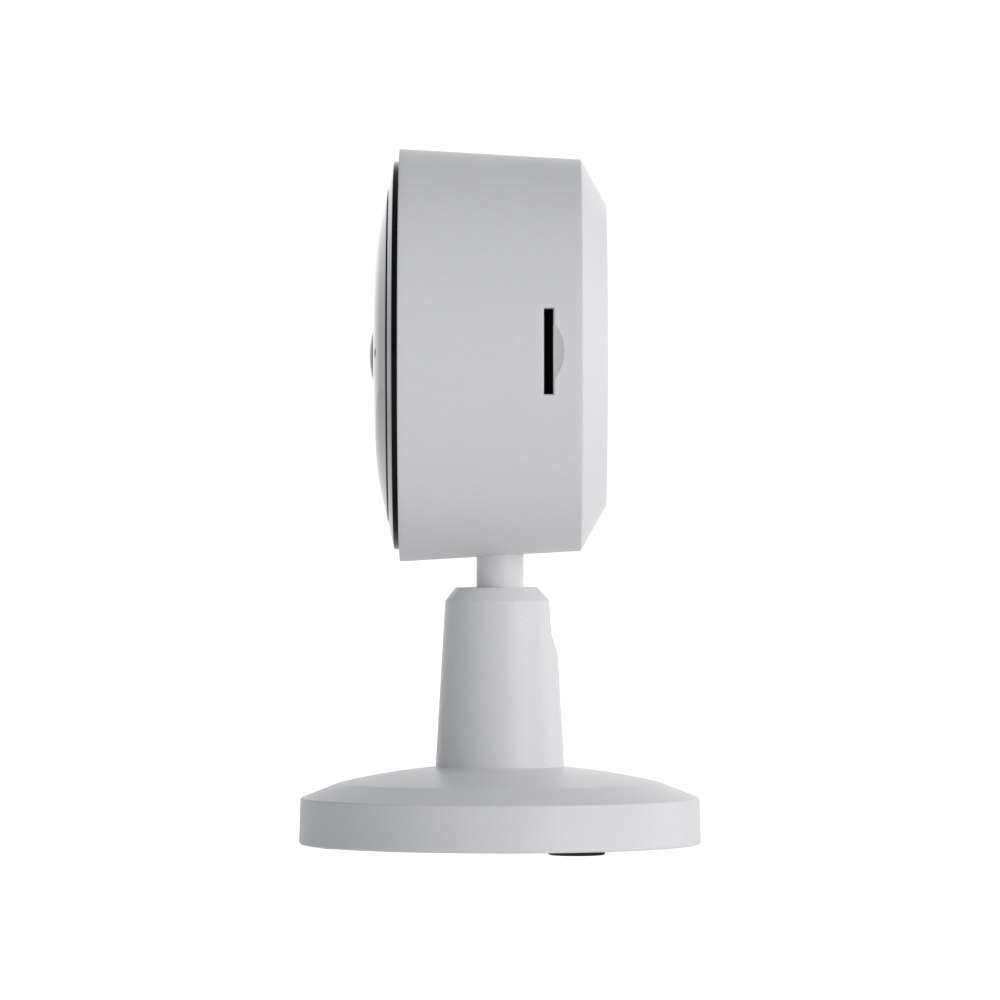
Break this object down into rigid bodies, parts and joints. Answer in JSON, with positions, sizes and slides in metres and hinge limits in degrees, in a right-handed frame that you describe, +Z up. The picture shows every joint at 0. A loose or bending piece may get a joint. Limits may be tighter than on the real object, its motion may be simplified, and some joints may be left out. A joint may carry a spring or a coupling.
{
  "type": "security camera",
  "caption": "Small white indoor camera: drum head with a black domed front and round lens, tilting and turning on a ball stud in a conical neck over a round weighted base.",
  "frame": {"origin": "centre of the round base, on the plane that the rubber feet stand on", "axes": "+Z up along the neck and stem, -Y the way the lens looks, +X the side with the memory-card slot"},
  "size_m": [0.0588, 0.0574, 0.0998],
  "materials": {
    "white_plastic": "fine matte moulded ABS",
    "black_plastic": "satin black moulded plastic",
    "gloss_black": "polished black",
    "dark_panel": "polished dark infrared-passing acrylic",
    "lens_glass": "coated optical glass",
    "filter_glass": "thin filter glass",
    "light_pipe": "frosted clear plastic",
    "rubber": "matte dark rubber",
    "steel": "zinc-plated steel",
    "cast_steel": "raw pressed steel",
    "aluminium": "brushed aluminium",
    "pom": "natural acetal",
    "circuit_board": "green solder mask",
    "chip": "moulded epoxy",
    "led_resin": "clear resin",
    "copper": "enamelled copper wire",
    "thermal_gel": "soft thermal pad",
    "foam": "closed-cell foam",
    "cone_paper": "speaker cone film"
  },
  "bodies": {
    "base": {"base_shell": "white_plastic", "base_cover": "white_plastic", "rubber_feet": "rubber", "cover_screws": "steel", "ballast_ring": "cast_steel", "friction_cup": "pom", "disc_springs": "steel", "neck_plug": "pom"},
    "stem": {"ball_stud": "white_plastic", "swivel_washer": "steel", "swivel_screw": "steel"},
    "head": {"housing_shell": "white_plastic", "friction_ring": "rubber", "front_frame": "gloss_black", "front_panel": "dark_panel", "status_light_pipe": "light_pipe", "led_board": "circuit_board", "infrared_leds": "led_resin", "status_led": "led_resin", "light_sensor": "chip", "microphone": "steel", "microphone_gasket": "foam", "lens_barrel": "black_plastic", "lens_front_element": "lens_glass", "lens_inner_elements": "lens_glass", "aperture_stop": "black_plastic", "lens_lock_ring": "black_plastic", "lens_holder": "black_plastic", "filter_coil": "copper", "image_sensor": "chip", "sensor_board": "circuit_board", "sensor_board_screws": "steel", "main_board": "circuit_board", "board_screws": "steel", "board_header": "black_plastic", "board_receptacle": "black_plastic", "processor_shield": "steel", "thermal_pad": "thermal_gel", "heat_spreader": "aluminium", "memory_card_socket": "black_plastic", "usb_socket": "steel", "usb_tongue": "black_plastic", "reset_switch": "black_plastic", "speaker_frame": "black_plastic", "speaker_magnet": "steel", "speaker_diaphragm": "cone_paper", "speaker_gasket": "foam", "wifi_antenna": "copper"},
    "button": {"reset_button": "white_plastic"},
    "filter": {"filter_carriage": "black_plastic", "infrared_blocking_glass": "filter_glass", "clear_glass": "filter_glass"}
  },
  "joints": [
    {"name": "stem_tilt", "type": "hinge", "parent": "base", "child": "stem", "pos_m": [0, 0, 0.03169], "axis": [-1, 0, 0], "range_deg": [-15, 90]},
    {"name": "head_turn", "type": "hinge", "parent": "stem", "child": "head", "pos_m": [0, 0, 0.0447], "axis": [0, 0, 1], "range_deg": [-170, 170]},
    {"name": "reset_press", "type": "slide", "parent": "head", "child": "button", "axis": [0, -1, 0], "range_m": [0, 0.0004], "stiffness_N_per_m": 1500, "springref_m": -0.0001},
    {"name": "filter_slide", "type": "slide", "parent": "head", "child": "filter", "axis": [-1, 0, 0], "range_m": [0, 0.0055]}
  ]
}
